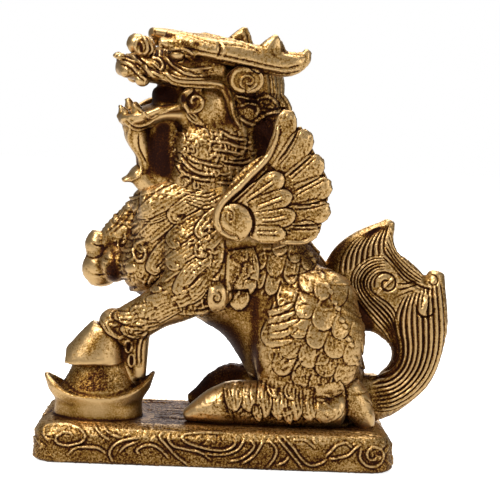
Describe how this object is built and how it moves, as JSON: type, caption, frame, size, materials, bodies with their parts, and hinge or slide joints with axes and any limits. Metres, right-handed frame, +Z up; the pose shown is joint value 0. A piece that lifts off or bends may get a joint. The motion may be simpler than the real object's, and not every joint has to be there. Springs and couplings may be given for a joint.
{
  "type": "qilin statue",
  "caption": "Brass casting of a seated winged qilin with one fore hoof on a boat-shaped ingot, on a low rounded base with cloud scrolls.",
  "frame": {"origin": "middle of the base's underside", "axes": "+Z up, -X where the animal looks, -Y the side of the ingot leg"},
  "size_m": [0.0939, 0.0377, 0.0979],
  "materials": {
    "antiqued_brass": "cast and antiqued: dark brown in the recesses, rubbed golden on the high spots"
  },
  "bodies": {
    "root": {"qilin_statue": "antiqued_brass"}
  },
  "joints": []
}
